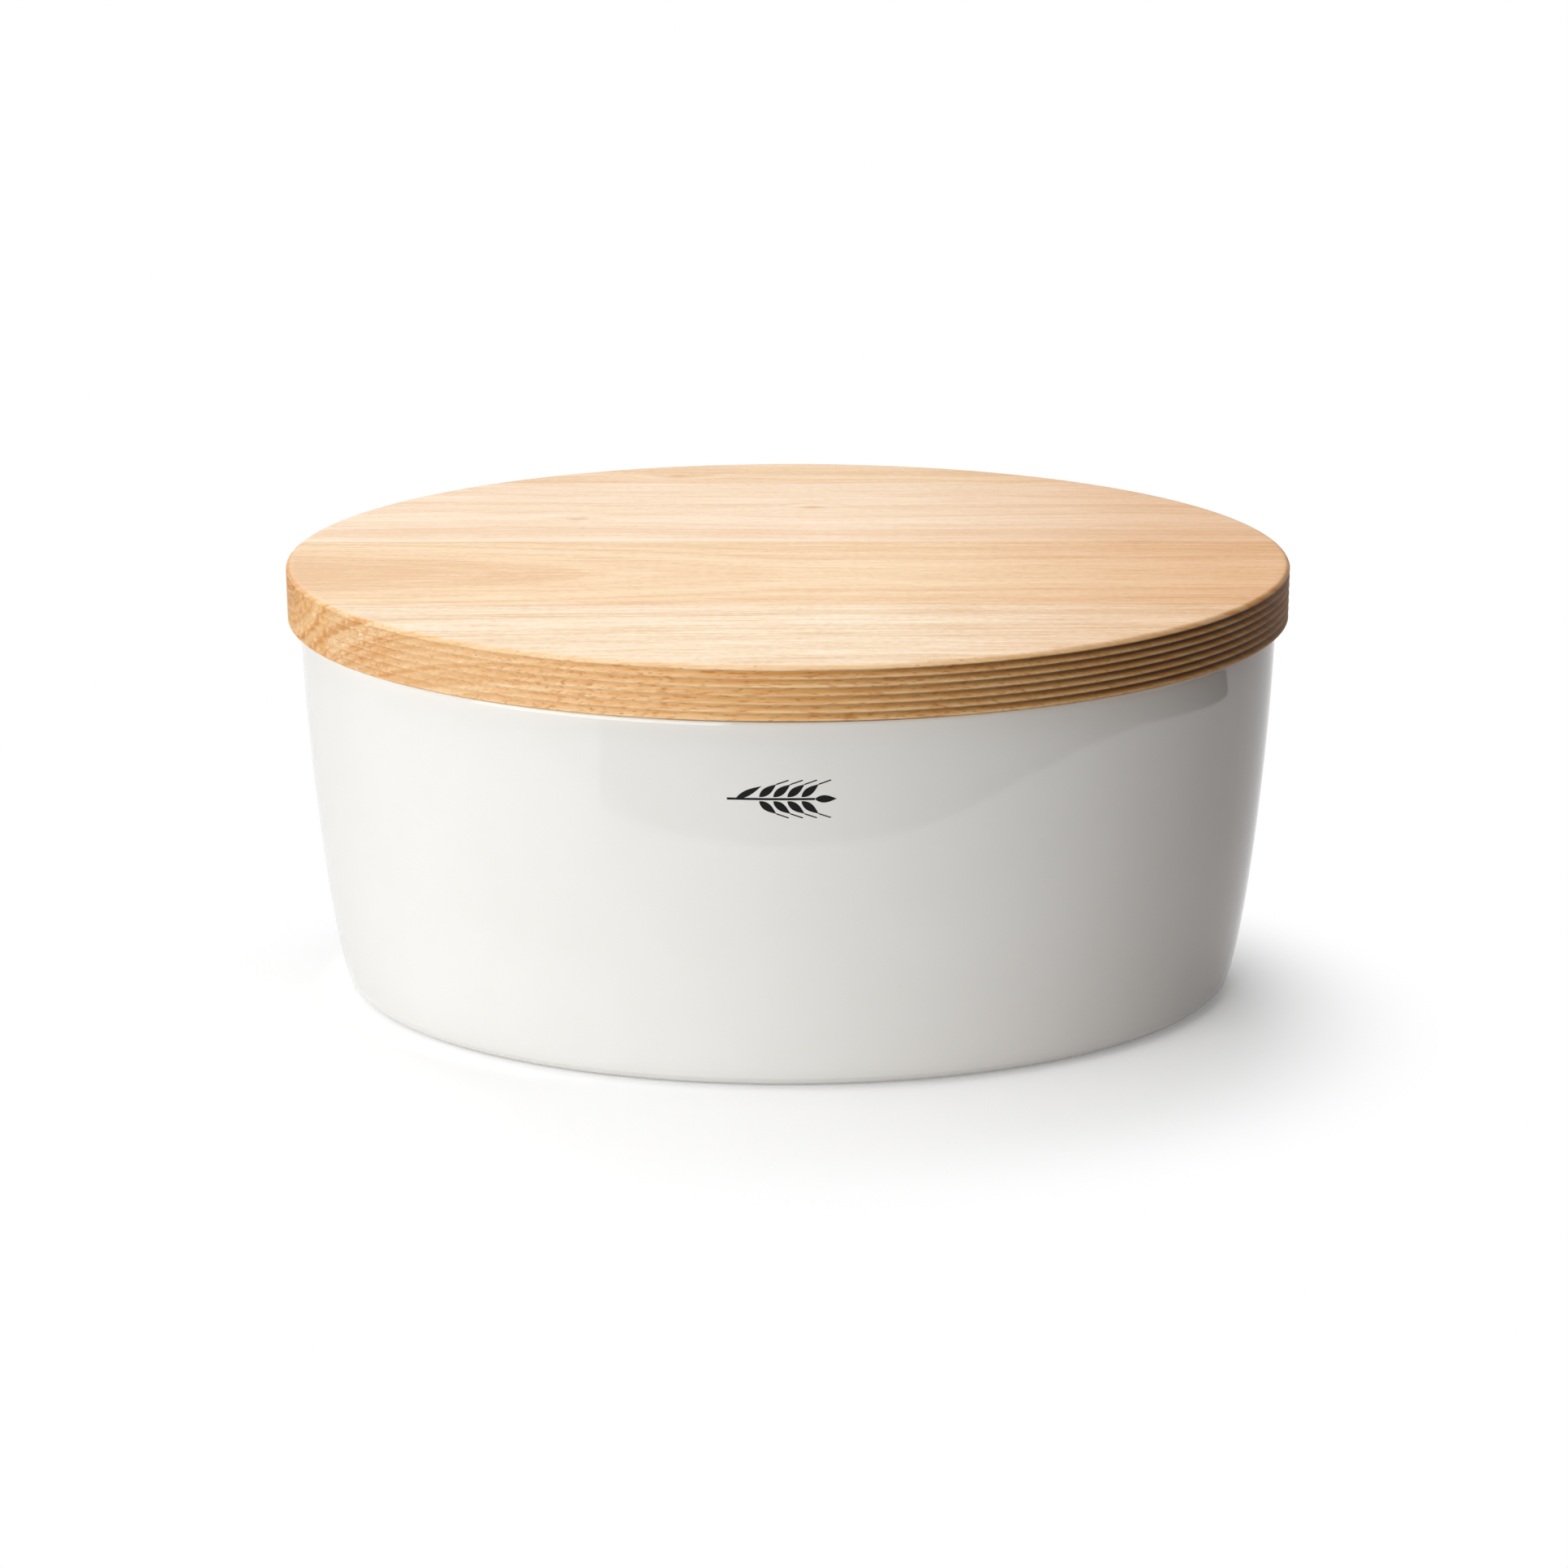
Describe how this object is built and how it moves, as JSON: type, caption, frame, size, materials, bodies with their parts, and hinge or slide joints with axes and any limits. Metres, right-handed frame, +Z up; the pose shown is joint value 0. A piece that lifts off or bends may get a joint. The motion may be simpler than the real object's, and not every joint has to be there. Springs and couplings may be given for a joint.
{
  "type": "bread crock",
  "caption": "Oval glazed stoneware bread crock with a thick wooden board lid, fluted round its edge, whose rebated plug drops into the mouth and lifts out to reach the loaf.",
  "frame": {"origin": "middle of the foot ring, on the surface that the crock stands on", "axes": "+X along the oval's length, -Y to the front that the picture shows, +Z up through the lid"},
  "size_m": [0.36, 0.25, 0.162],
  "materials": {
    "white_glaze": "glossy white glaze over stoneware, bare on the foot ring",
    "rubberwood_front": "oiled, pale, straight grain",
    "rubberwood_middle_front": "oiled, tan, cathedral grain",
    "rubberwood_middle_back": "oiled, cream, streaked grain",
    "rubberwood_back": "oiled, tan, straight grain"
  },
  "bodies": {
    "crock": {"crock_body": "white_glaze"},
    "lid": {"lid_stave_front": "rubberwood_front", "lid_stave_middle_front": "rubberwood_middle_front", "lid_stave_middle_back": "rubberwood_middle_back", "lid_stave_back": "rubberwood_back"}
  },
  "joints": [
    {"name": "lid_lift", "type": "slide", "parent": "crock", "child": "lid", "axis": [0, 0, 1], "range_m": [0, 0.2]}
  ]
}
